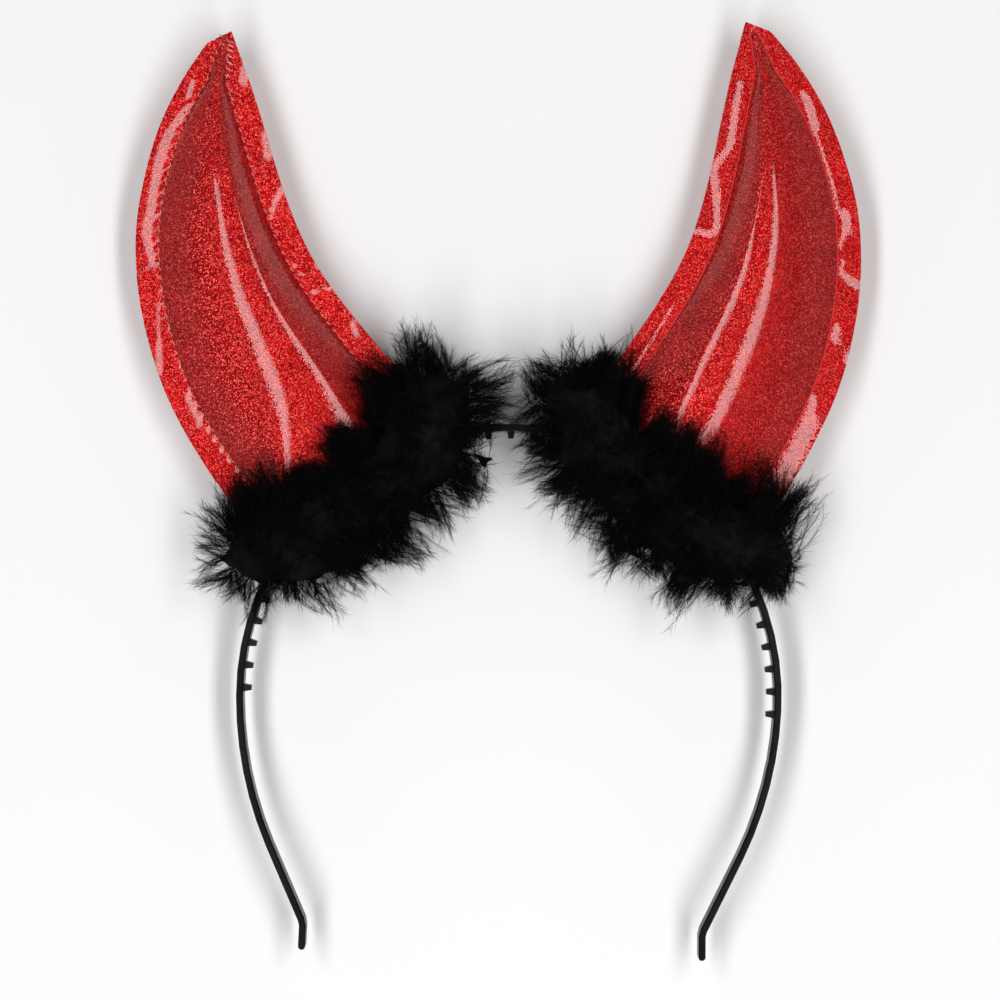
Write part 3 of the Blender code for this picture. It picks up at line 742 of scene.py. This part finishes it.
def horn_sheet(word, horn, face, setup):
    """Points of one sheet of a horn, row by row, with folds, seam, puckers and waves."""
    shares = np.linspace(0.0, 1.0, HORN_ROWS + 1)
    width = section_points(horn, shares, np.full((len(shares), 1), 0.5))[1]
    seam = np.minimum(setup.flange / width, SEAM_LIMIT)[:, None]
    edge = np.linspace(0.0, 1.0, FLANGE_COLUMNS + 1)[None, :]
    even = np.linspace(0.0, 1.0, PAD_COLUMNS + 1)[1:-1]
    pad = np.interp(even, COLUMN_SHARES, COLUMN_PLACES)[None, :]
    columns = (seam * edge, seam + (1.0 - 2.0 * seam) * pad, 1.0 - seam * edge[:, ::-1])
    across = np.concatenate(columns, axis=1)
    plan, width = section_points(horn, shares, across)
    place = np.clip((across - seam) / (1.0 - 2.0 * seam), 0.0, 1.0)
    table = np.array(FOLDS[word])
    folds = [eased(np.interp(shares, table[:, 0], column)) for column in table.T]
    rise = eased(eased(along_curve(horn.rise, shares)))
    height = np.empty_like(place)
    for k, row in enumerate(zip(*folds)):
        pad_width = width[k] * (1.0 - 2.0 * seam[k, 0])
        height[k] = horn.edge_top + crown(place[k], pad_width, rise[k], Fold(*row))
    ripple = sum(share * field(plan, size, seed + face) for size, share, seed in RIPPLES)
    height += setup.ripple * ripple * np.minimum(1.0, 4.0 * place * (1.0 - place))
    from_seam = np.minimum(abs(across - seam), abs(1.0 - seam - across)) * width[:, None]
    if word == "left":
        lines = shares[:, None] * np.ones_like(across)
        wander = PUCKER_WANDER * field(plan, PUCKER_WANDER_SIZE, 5.0)
        wrinkle = np.sin(lines * 2.0 * math.pi * PUCKERS + (PUCKER_SLANT * from_seam + wander))
        reach = PUCKER_REACH - PUCKER_REACH_LOSS * across
        fade = np.exp(-((from_seam / reach) ** 2))
        height += setup.pucker * reach / PUCKER_REACH * wrinkle * fade
    inner_edge = np.maximum(0.0, 1.0 - across / seam)
    outer_edge = np.maximum(0.0, 1.0 - (1.0 - across) / seam)
    wave = setup.wave * field(plan, WAVE_SIZE, 1.0) * (inner_edge + outer_edge) ** WAVE_POWER
    out = np.linspace(0.0, setup.flange, FLANGE_COLUMNS + 1)
    for edge, column in (("inner", 0), ("outer", -1)):
        steps = np.linalg.norm(np.diff(plan[:, column], axis=0), axis=1)
        length = steps.sum()
        along = np.concatenate(([0.0], np.cumsum(steps)))
        lift = edge_curls(word, edge, along, out, length, setup.flange)
        if edge == "inner":
            wave[:, : FLANGE_COLUMNS + 1] += lift[:, ::-1]
        else:
            wave[:, -FLANGE_COLUMNS - 1 :] += lift
    level = horn.level + face * height + wave
    return np.concatenate((plan, level[..., None]), axis=2)


def add_sheet(points, name):
    """A grid object through rows of points, creased along its seams."""
    deselect_all()
    rows, columns = points.shape[:2]
    bpy.ops.mesh.primitive_grid_add(x_subdivisions=columns - 1, y_subdivisions=rows - 1, size=1.0)
    sheet = bpy.context.active_object
    sheet.name = name
    set_points(sheet.data, points.reshape(-1, 3))
    for edge in sheet.data.edges:
        start, end = (index % columns for index in edge.vertices)
        edge.use_edge_sharp = start == end and start in SEAM_COLUMNS
    return sheet


def close_rim(horn_obj, depth):
    """Bridges the two sheets along their cut edge and draws the line between them in."""
    activate(horn_obj)
    old = len(horn_obj.data.vertices)
    edit_mode("EDGE")
    bpy.ops.mesh.select_non_manifold()
    bpy.ops.mesh.bridge_edge_loops(number_cuts=1, smoothness=0.0)
    bpy.ops.mesh.select_all(action="SELECT")
    bpy.ops.mesh.normals_make_consistent(inside=False)
    object_mode()
    mesh = horn_obj.data
    middle = [(vertex, vertex.normal.copy()) for vertex in mesh.vertices[old:]]
    for vertex, normal in middle:
        vertex.co -= normal * depth
    mesh.update()


def make_horn(word, setup, material):
    """One padded horn: two vinyl sheets joined along their cut edge."""
    horn = read_horn(word)
    front = add_sheet(horn_sheet(word, horn, 1, setup), f"horn_{word}_padded")
    back = add_sheet(horn_sheet(word, horn, -1, setup), f"horn_{word}_back_sheet")
    activate(front)
    back.select_set(True)
    bpy.ops.object.join()
    close_rim(front, RIM_GROOVE)
    bpy.ops.object.shade_smooth_by_angle(angle=SMOOTH_ANGLE)
    front.data.materials.append(material)
    nodes = [f"horn_{word}_{part}" for part in ("front_panel", "back_panel", "filling")]
    settle(front, "red_glitter_vinyl", *nodes)


# Seams


def seam_lines(word, horn, setup, face):
    """Points along both seams of a horn on one face."""
    sheet = horn_sheet(word, horn, face, setup)
    return [sheet[:, column] for column in SEAM_COLUMNS]


def in_fixed_order(points, faces):
    """The same shape with its points and faces listed alike in every run, as extruding varies them."""
    order = np.lexsort(points.T)
    rank = np.argsort(order)
    listed = []
    for face in faces:
        ranked = [int(rank[index]) for index in face]
        start = ranked.index(min(ranked))
        listed.append(ranked[start:] + ranked[:start])
    return points[order], sorted(listed)


def stitch_template():
    """One stitch, modelled lying along +X with its middle at the origin."""
    deselect_all()
    bpy.ops.mesh.primitive_cylinder_add(
        vertices=6, radius=0.5, depth=1.0, rotation=(0.0, math.pi / 2, 0.0)
    )
    stitch = bpy.context.active_object
    bpy.ops.object.transform_apply(location=True, rotation=True, scale=True)
    edit_mode("FACE")
    object_mode()
    for face in stitch.data.polygons:
        face.select = abs(face.normal.x) > 0.9
    bpy.ops.object.mode_set(mode="EDIT")
    bpy.ops.mesh.extrude_region_move()
    bpy.ops.transform.resize(value=(1.0, STITCH_END_WIDTH, STITCH_END_WIDTH))
    object_mode()
    points = mesh_points(stitch.data)
    ends = abs(points[:, 0]) > 0.4
    narrow = ends & (np.hypot(points[:, 1], points[:, 2]) < 0.4)
    points[ends & ~narrow, 0] *= STITCH_END_PLACE
    points[narrow, 2] -= STITCH_END_DIP
    faces = [list(polygon.vertices) for polygon in stitch.data.polygons]
    bpy.data.objects.remove(stitch)
    return in_fixed_order(points, faces)


def joined_copies(name, template, faces, frames):
    """One mesh of many copies of a shape: frames holds each copy's corner points."""
    count = len(frames)
    points = frames.reshape(-1, 3)
    sizes = np.array([len(face) for face in faces])
    corners = np.concatenate([np.array(face) for face in faces])
    loops = (corners[None, :] + np.arange(count)[:, None] * len(template)).ravel()
    totals = np.tile(sizes, count)
    mesh = bpy.data.meshes.new(name)
    mesh.vertices.add(len(points))
    mesh.loops.add(len(loops))
    mesh.polygons.add(len(totals))
    mesh.vertices.foreach_set("co", points.astype(np.float32).ravel())
    mesh.loops.foreach_set("vertex_index", loops.astype(np.int32))
    starts = np.concatenate(([0], np.cumsum(totals)[:-1]))
    mesh.polygons.foreach_set("loop_start", starts.astype(np.int32))
    mesh.update(calc_edges=True)
    mesh.validate()
    obj = bpy.data.objects.new(name, mesh)
    bpy.context.scene.collection.objects.link(obj)
    return obj


def resample(line, pitch):
    """Even places along a line of points, with the direction at each."""
    steps = np.linalg.norm(np.diff(line, axis=0), axis=1)
    reach = np.concatenate(([0.0], np.cumsum(steps)))
    at = np.arange(pitch / 2, reach[-1], pitch)
    points, ahead = (
        np.stack([np.interp(places, reach, line[:, axis]) for axis in range(3)], axis=1)
        for places in (at, at + pitch / 3)
    )
    return points, unit(ahead - points)


def slanted_stitches(line, face, setup, template):
    """Corner points of the separate stitches along one seam, each turned a little off it."""
    shape = template * (setup.length, setup.thread, setup.thread)
    points, ahead = resample(line, setup.pitch)
    up = np.tile((0.0, 0.0, float(face)), (len(points), 1))
    side = unit(np.cross(up, ahead))
    up = np.cross(ahead, side)
    ahead, side = (
        ahead * math.cos(setup.slant) + side * math.sin(setup.slant),
        side * math.cos(setup.slant) - ahead * math.sin(setup.slant),
    )
    centre = points + up * setup.thread * STITCH_LIFT
    return (
        centre[:, None]
        + ahead[:, None] * shape[None, :, 0:1]
        + side[:, None] * shape[None, :, 1:2]
        + up[:, None] * shape[None, :, 2:3]
    )


def lay_thread(line, face, setup):
    """One unbroken thread along a seam."""
    curve = bpy.data.curves.new("seam_run", "CURVE")
    curve.dimensions = "3D"
    curve.bevel_depth = setup.thread / 2.0
    curve.bevel_resolution = 1
    curve.use_fill_caps = True
    spline = curve.splines.new("POLY")
    spline.points.add(len(line) - 1)
    for point, (x, y, z) in zip(spline.points, line):
        point.co = (x, y, z + face * setup.thread * THREAD_LIFT, 1.0)
    run = bpy.data.objects.new("seam_run", curve)
    bpy.context.scene.collection.objects.link(run)
    return run


def make_seam(word, setup, horn_setup, material):
    """The sewing thread along the seams of one horn, on both faces."""
    horn = read_horn(word)
    lines = [(face, line) for face in (1, -1) for line in seam_lines(word, horn, horn_setup, face)]
    if word == "left":
        template, faces = stitch_template()
        frames = [slanted_stitches(line, face, setup, template) for face, line in lines]
        thread = joined_copies(f"seam_thread_{word}", template, faces, np.concatenate(frames))
        activate(thread)
    else:
        runs = [lay_thread(line[THREAD_ROWS], face, setup) for face, line in lines]
        activate(runs[0])
        for run in runs:
            run.select_set(True)
        bpy.ops.object.convert(target="MESH")
        bpy.ops.object.join()
        thread = bpy.context.active_object
        thread.name = f"seam_thread_{word}"
    bpy.ops.object.shade_smooth()
    thread.data.materials.append(material)
    settle(thread, "red_glitter_vinyl")


# Marabou


def barb_template(cuts):
    """One tapering three-sided barb along +Z, from its root at the origin to its tip at one."""
    deselect_all()
    bpy.ops.mesh.primitive_cone_add(
        vertices=3, radius1=1.0, radius2=0.0, depth=1.0, location=(0.0, 0.0, 0.5)
    )
    barb = bpy.context.active_object
    bpy.ops.object.transform_apply(location=True, rotation=True, scale=True)
    bpy.ops.object.mode_set(mode="EDIT")
    for height in cuts:
        bpy.ops.mesh.select_all(action="SELECT")
        bpy.ops.mesh.bisect(plane_co=(0.0, 0.0, height), plane_no=(0.0, 0.0, 1.0))
    object_mode()
    points = mesh_points(barb.data)
    faces = [list(polygon.vertices) for polygon in barb.data.polygons]
    bpy.data.objects.remove(barb)
    return points, faces


def bend_barbs(template, roots, ways, bends, lengths, widths):
    """Copies of a barb set on their roots, each drawn out along its way and bent."""
    side = unit(np.cross(ways, bends + 0.001 + 0.5 * np.roll(ways, 1, axis=1)))
    other = np.cross(ways, side)
    along = template[None, :, 2:3]
    reach = lengths[:, None, None]
    thick = widths[:, None, None]
    return (
        roots[:, None]
        + ways[:, None] * along * reach
        + bends[:, None] * along**2 * reach
        + side[:, None] * template[None, :, 0:1] * thick
        + other[:, None] * template[None, :, 1:2] * thick
    )


def largest_piece(obj):
    """Keeps the largest of an object's separate pieces, and takes the others away."""
    activate(obj)
    name = obj.name
    bpy.ops.mesh.separate(type="LOOSE")
    pieces = sorted(bpy.context.selected_objects, key=lambda piece: len(piece.data.vertices))
    largest = pieces.pop()
    for piece in pieces:
        bpy.data.objects.remove(piece)
    largest.name = name
    activate(largest)
    return largest


def make_core(word, setup, material):
    """The dense middle of a trim, from its CAD solid with the locks smoothed away."""
    node = node_of(f"marabou_trim_{word}")
    core = node.copy()
    core.data = node.data.copy()
    core.name = f"marabou_core_{word}"
    core.parent = None
    core.data.materials.clear()
    bpy.context.scene.collection.objects.link(core)
    activate(core)
    edit_mode()
    bpy.ops.mesh.select_all(action="SELECT")
    bpy.ops.mesh.remove_doubles(threshold=MERGE)
    object_mode()
    for step, (kind, values) in enumerate(
        (
            ("REMESH", {"mode": "VOXEL", "voxel_size": CORE_VOXELS[0]}),
            ("SMOOTH", CORE_SMOOTHING),
            ("DISPLACE", {"strength": -setup.inset, "mid_level": 0.0}),
            ("REMESH", {"mode": "VOXEL", "voxel_size": CORE_VOXELS[1]}),
            ("SMOOTH", CORE_SMOOTHING),
        )
    ):
        modifier = core.modifiers.new(f"Down{step}", kind)
        for key, value in values.items():
            setattr(modifier, key, value)
        bpy.ops.object.modifier_apply(modifier=modifier.name)
    core = largest_piece(core)
    points = mesh_points(core.data)
    normals = np.empty(len(points) * 3, dtype=np.float32)
    core.data.vertices.foreach_get("normal", normals)
    lumps = sum(field(points, size, seed) * height for size, height, seed in CORE_LUMPS)
    points += normals.reshape(-1, 3) * lumps[:, None]
    points[:, 2] = np.maximum(points[:, 2], CORE_FLOOR)
    set_points(core.data, points)
    bpy.ops.object.shade_smooth()
    core.data.materials.append(material)
    settle(core, "black_marabou", f"marabou_trim_{word}")
    return core


def surface_tree(obj):
    """A search tree of an object's faces."""
    return BVHTree.FromObject(obj, bpy.context.evaluated_depsgraph_get())


def plume_roots(core, horn_obj, count, draw):
    """Random places on the outside of a core, the way out at each, and which lie beside the horn."""
    mesh = core.data
    mesh.calc_loop_triangles()
    points = mesh_points(mesh)
    corners = np.empty(len(mesh.loop_triangles) * 3, dtype=np.int32)
    mesh.loop_triangles.foreach_get("vertices", corners)
    a, b, c = (points[corners.reshape(-1, 3)[:, k]] for k in range(3))
    cross = np.cross(b - a, c - a)
    area = np.linalg.norm(cross, axis=1)
    blockers = (surface_tree(core), surface_tree(horn_obj))
    horn_points = mesh_points(horn_obj.data)
    middles = (a + b + c) / 3.0
    near = [blockers[1].find_nearest(Vector(place), FRINGE_REACH)[0] is not None for place in middles]
    beside = np.array(near) & (middles[:, 2] > horn_points[:, 2].mean())
    weight = area * np.where(beside, FRINGE_DENSITY, 1.0)
    chosen = draw.choice(len(area), size=count * SPARE_ROOTS, p=weight / weight.sum())
    u, v = draw.random((2, len(chosen)))
    flip = u + v > 1.0
    u[flip], v[flip] = 1.0 - u[flip], 1.0 - v[flip]
    roots = a[chosen] + (b - a)[chosen] * u[:, None] + (c - a)[chosen] * v[:, None]
    outward = unit(cross[chosen])
    level = np.sign(roots[:, 2:] - roots[:, 2].mean())
    leaning = unit(outward + level * LEAN_UP + level**2 * LEAN_ALONG)
    along = (horn_points.mean(axis=0) - points.mean(axis=0)) * (1.0, 1.0, 0.0)
    over = unit(unit(along) + (0.0, 0.0, FRINGE_RISE))
    kept, ways = [], []
    for k, root in enumerate(roots):
        tries = (outward[k], leaning[k])
        if beside[chosen[k]]:
            tries = (unit(FRINGE_OUTWARD * outward[k] + over), over, leaning[k])
        for way in tries:
            start = Vector(root + way * ROOM_START)
            clear = all(tree.ray_cast(start, Vector(way), ROOM)[0] is None for tree in blockers)
            if clear and (root[2] > LOW_ROOT or way[2] > STEEPEST_FALL):
                kept.append(k)
                ways.append(way)
                break
        if len(kept) == count:
            break
    return roots[kept], np.array(ways), beside[chosen[kept]]


def soft_limit(heights, limit, room, fade):
    """Heights past a limit, drawn in smoothly so that they end within the room behind it."""
    return limit + room * np.tanh((heights - limit) / fade)


def make_plumes(word, part, core, horn_obj, setup, material):
    """One piece of a trim's fluff: small plumes, each a bent shaft with barbs on both sides."""
    draw = np.random.default_rng([setup.seed, SIDES.index(word), part])
    roots, outward, beside = plume_roots(core, horn_obj, setup.plumes, draw)
    count = len(roots)
    shaft_points, shaft_faces = barb_template(SHAFT_CUTS)
    barb_points, barb_faces = barb_template(())
    middles = draw.choice(count, size=min(setup.tufts, count), replace=False)
    tuft_ways = unit(outward[middles] + TUFT_SPREAD * draw.normal(size=(len(middles), 3)))
    tuft_lengths = setup.length * draw.uniform(*TUFT_LENGTHS, len(middles))
    tips = roots[middles] + tuft_ways * tuft_lengths[:, None]
    gaps = np.linalg.norm(roots[:, None] - roots[middles][None], axis=2)
    nearest = np.argmin(gaps + TUFT_BLUR * draw.random(gaps.shape), axis=1)
    spread = PLUME_SPREAD * draw.normal(size=(count, 3))
    ways = unit(outward + tuft_ways[nearest] * TUFT_SHARE + spread)
    lengths = tuft_lengths[nearest] * draw.uniform(*PLUME_LENGTHS, count)
    lengths *= np.where(beside, FRINGE_LENGTH, 1.0)
    starts = roots - outward * ROOT_DEPTH
    ends = starts + ways * lengths[:, None]
    bends = setup.pull * (tips[nearest] - ends) / lengths[:, None]
    bends += PLUME_CURL * draw.normal(size=(count, 3))
    shafts = bend_barbs(shaft_points, starts, ways, bends, lengths, np.full(count, setup.shaft))
    across = unit(np.cross(ways, draw.normal(size=(count, 3))))
    frames = []
    for k in range(BARBS):
        at = BARB_START + BARB_RUN * (k + draw.random(count)) / BARBS
        root = starts + ways * (lengths * at)[:, None] + bends * (lengths * at**2)[:, None]
        ahead = unit(ways + 2.0 * bends * at[:, None])
        side = across * (1.0 if k % 2 else -1.0) + BARB_SPREAD * draw.normal(size=(count, 3))
        angle = draw.uniform(*BARB_ANGLES, count)[:, None]
        way = unit(ahead * np.cos(angle) + unit(side) * np.sin(angle))
        curl = ahead * BARB_CURL + BARB_WANDER * draw.normal(size=(count, 3))
        reach = setup.length * draw.uniform(*BARB_LENGTHS, count)
        reach *= BARB_LENGTH_AT_ROOT - BARB_LENGTH_LOSS * at
        frames.append(bend_barbs(barb_points, root, way, curl, reach, np.full(count, setup.barb)))
    plumes = joined_copies(f"marabou_plumes_{word}_{part}", shaft_points, shaft_faces, shafts)
    barbs = joined_copies(f"marabou_barbs_{word}", barb_points, barb_faces, np.concatenate(frames))
    activate(plumes)
    barbs.select_set(True)
    bpy.ops.object.join()
    points = mesh_points(plumes.data)
    low = points[:, 2] < PLUME_FLOOR[0]
    points[low, 2] = soft_limit(points[low, 2], *PLUME_FLOOR)
    high = points[:, 2] > PLUME_CEILING[0]
    points[high, 2] = soft_limit(points[high, 2], *PLUME_CEILING)
    set_points(plumes.data, points)
    bpy.ops.object.shade_smooth()
    plumes.data.materials.append(material)
    settle(plumes, "black_marabou")


# Studio


def strip_places(side):
    """Place and target of the strip lamp on one side."""
    return (side * LAMP_SIDE, LAMP_MIDDLE, LAMP_HEIGHT), (side * LAMP_AIM, LAMP_MIDDLE, 0.0)


def add_strip(name, place, power, target):
    """A long soft lamp along Y, turned about its length towards a point."""
    deselect_all()
    bpy.ops.object.light_add(type="AREA", location=place)
    lamp = bpy.context.active_object
    lamp.name = name
    lamp.data.shape = "RECTANGLE"
    lamp.data.size, lamp.data.size_y = LAMP_SIZE
    lamp.data.energy = power
    lean = math.atan2(place[0] - target[0], place[2] - target[2])
    lamp.rotation_euler = (0.0, lean, 0.0)


def light_room(setup):
    """A pale room, dark overhead where the camera hangs."""
    world = bpy.context.scene.world or bpy.data.worlds.new("studio_room")
    bpy.context.scene.world = world
    world.use_nodes = True
    tree = world.node_tree
    link = tree.links.new
    place = add_node(tree, "ShaderNodeTexCoord")
    parts = add_node(tree, "ShaderNodeSeparateXYZ")
    link(place.outputs["Generated"], parts.inputs["Vector"])
    room = setup.fill_light
    stops = (
        (0.00, grey(0.40 * room)),
        (0.48, grey(0.42 * room)),
        (0.56, grey(0.12 * room)),
        (0.88, grey(0.20 * room)),
        (0.94, grey(0.03 * room)),
    )
    back = tree.nodes["Background"]
    link(add_ramp(tree, parts.outputs["Z"], stops), back.inputs["Color"])
    back.inputs["Strength"].default_value = 1.0


# Operators


class HEADBAND_OT_studio(bpy.types.Operator):
    """Lays out the floor, the lamps, the room and the camera."""

    bl_idname = "headband.studio"
    bl_label = "Lay Out Studio"

    def execute(self, context):
        setup = settings(context, "studio")
        deselect_all()
        bpy.ops.mesh.primitive_plane_add(size=FLOOR_SIZE)
        floor = context.active_object
        floor.name = "studio_floor"
        floor.data.materials.append(studio_floor(setup))
        light_room(setup)
        for word, side in (("left", -1), ("right", 1)):
            place, target = strip_places(side)
            add_strip(f"strip_lamp_{word}", place, setup.strip_power, target)
        bpy.ops.object.camera_add(location=(*CAMERA_PLACE, setup.distance), rotation=(0, 0, 0))
        camera = context.active_object
        camera.name = "photo_camera"
        camera.data.lens = setup.lens
        camera.data.sensor_width = SENSOR_WIDTH
        camera.data.clip_start = NEAR_CLIP
        context.scene.camera = camera
        context.scene.view_settings.view_transform = "Standard"
        return {"FINISHED"}


class HEADBAND_OT_band(bpy.types.Operator):
    """Gives the toothed band its moulded finish."""

    bl_idname = "headband.band"
    bl_label = "Finish Band"

    def execute(self, context):
        band = node_of("headband")
        material = moulded_plastic(settings(context, "band"))
        if band.material_slots:
            band.material_slots[0].material = material
        else:
            band.data.materials.append(material)
        return {"FINISHED"}


class HEADBAND_OT_horns(bpy.types.Operator):
    """Makes both padded horns of glitter vinyl."""

    bl_idname = "headband.horns"
    bl_label = "Make Horns"

    def execute(self, context):
        setup = settings(context, "horn")
        material = glitter_vinyl(setup)
        for word in SIDES:
            make_horn(word, setup, material)
        return {"FINISHED"}


class HEADBAND_OT_seams(bpy.types.Operator):
    """Sews the seams of both horns."""

    bl_idname = "headband.seams"
    bl_label = "Sew Seams"

    def execute(self, context):
        setup = settings(context, "seam")
        # The left horn's stitch colour holds a painted highlight as well as the thread's own colour.
        colours = {"left": setup.stitch_colour_and_glint, "right": setup.colour}
        for word in SIDES:
            material = sewing_thread(f"red_thread_{word}", colours[word])
            make_seam(word, setup, settings(context, "horn"), material)
        return {"FINISHED"}


class HEADBAND_OT_marabou(bpy.types.Operator):
    """Makes one marabou trim about the foot of a horn."""

    bl_idname = "headband.marabou"
    bl_label = "Make Marabou"

    side: StringProperty(name="Side", description="Which horn the trim is for", default="left")

    def execute(self, context):
        setup = settings(context, "marabou")
        material = bpy.data.materials.get(MARABOU_FINISH) or marabou_down(setup)
        core = make_core(self.side, setup, material)
        horn_obj = bpy.data.objects[f"horn_{self.side}_padded"]
        for part in (1, 2):
            make_plumes(self.side, part, core, horn_obj, setup, material)
        return {"FINISHED"}


class HEADBAND_PT_sidebar(bpy.types.Panel):
    """Lists the steps and sizes of the headband."""

    bl_label = "Headband"
    bl_idname = "HEADBAND_PT_sidebar"
    bl_space_type = "VIEW_3D"
    bl_region_type = "UI"
    bl_category = "Headband"

    def draw(self, context):
        layout = self.layout
        for operator in (HEADBAND_OT_studio, HEADBAND_OT_band, HEADBAND_OT_horns, HEADBAND_OT_seams):
            layout.operator(operator.bl_idname)
        for word in SIDES:
            layout.operator(HEADBAND_OT_marabou.bl_idname, text=f"Make Marabou {word}").side = word
        for group in GROUPS:
            box = layout.box()
            box.label(text=group.title())
            values = settings(context, group)
            for name in values.bl_rna.properties.keys():
                if name not in ("rna_type", "name"):
                    box.prop(values, name)


GROUPS = {
    "horn": HornSettings,
    "seam": SeamSettings,
    "marabou": MarabouSettings,
    "band": BandSettings,
    "studio": StudioSettings,
}
CLASSES = (
    *GROUPS.values(),
    HEADBAND_OT_studio,
    HEADBAND_OT_band,
    HEADBAND_OT_horns,
    HEADBAND_OT_seams,
    HEADBAND_OT_marabou,
    HEADBAND_PT_sidebar,
)


def register():
    """Adds the settings, the operators and the sidebar panel."""
    for cls in CLASSES:
        bpy.utils.register_class(cls)
    for name, group in GROUPS.items():
        setattr(bpy.types.Scene, f"headband_{name}", PointerProperty(type=group))


def unregister():
    """Takes them away again."""
    for name in GROUPS:
        delattr(bpy.types.Scene, f"headband_{name}")
    for cls in reversed(CLASSES):
        bpy.utils.unregister_class(cls)


def main():
    """Makes every piece in order."""
    register()
    bpy.ops.headband.studio()
    bpy.ops.headband.band()
    bpy.ops.headband.horns()
    bpy.ops.headband.seams()
    for word in SIDES:
        bpy.ops.headband.marabou(side=word)


if __name__ == "__main__":
    main()
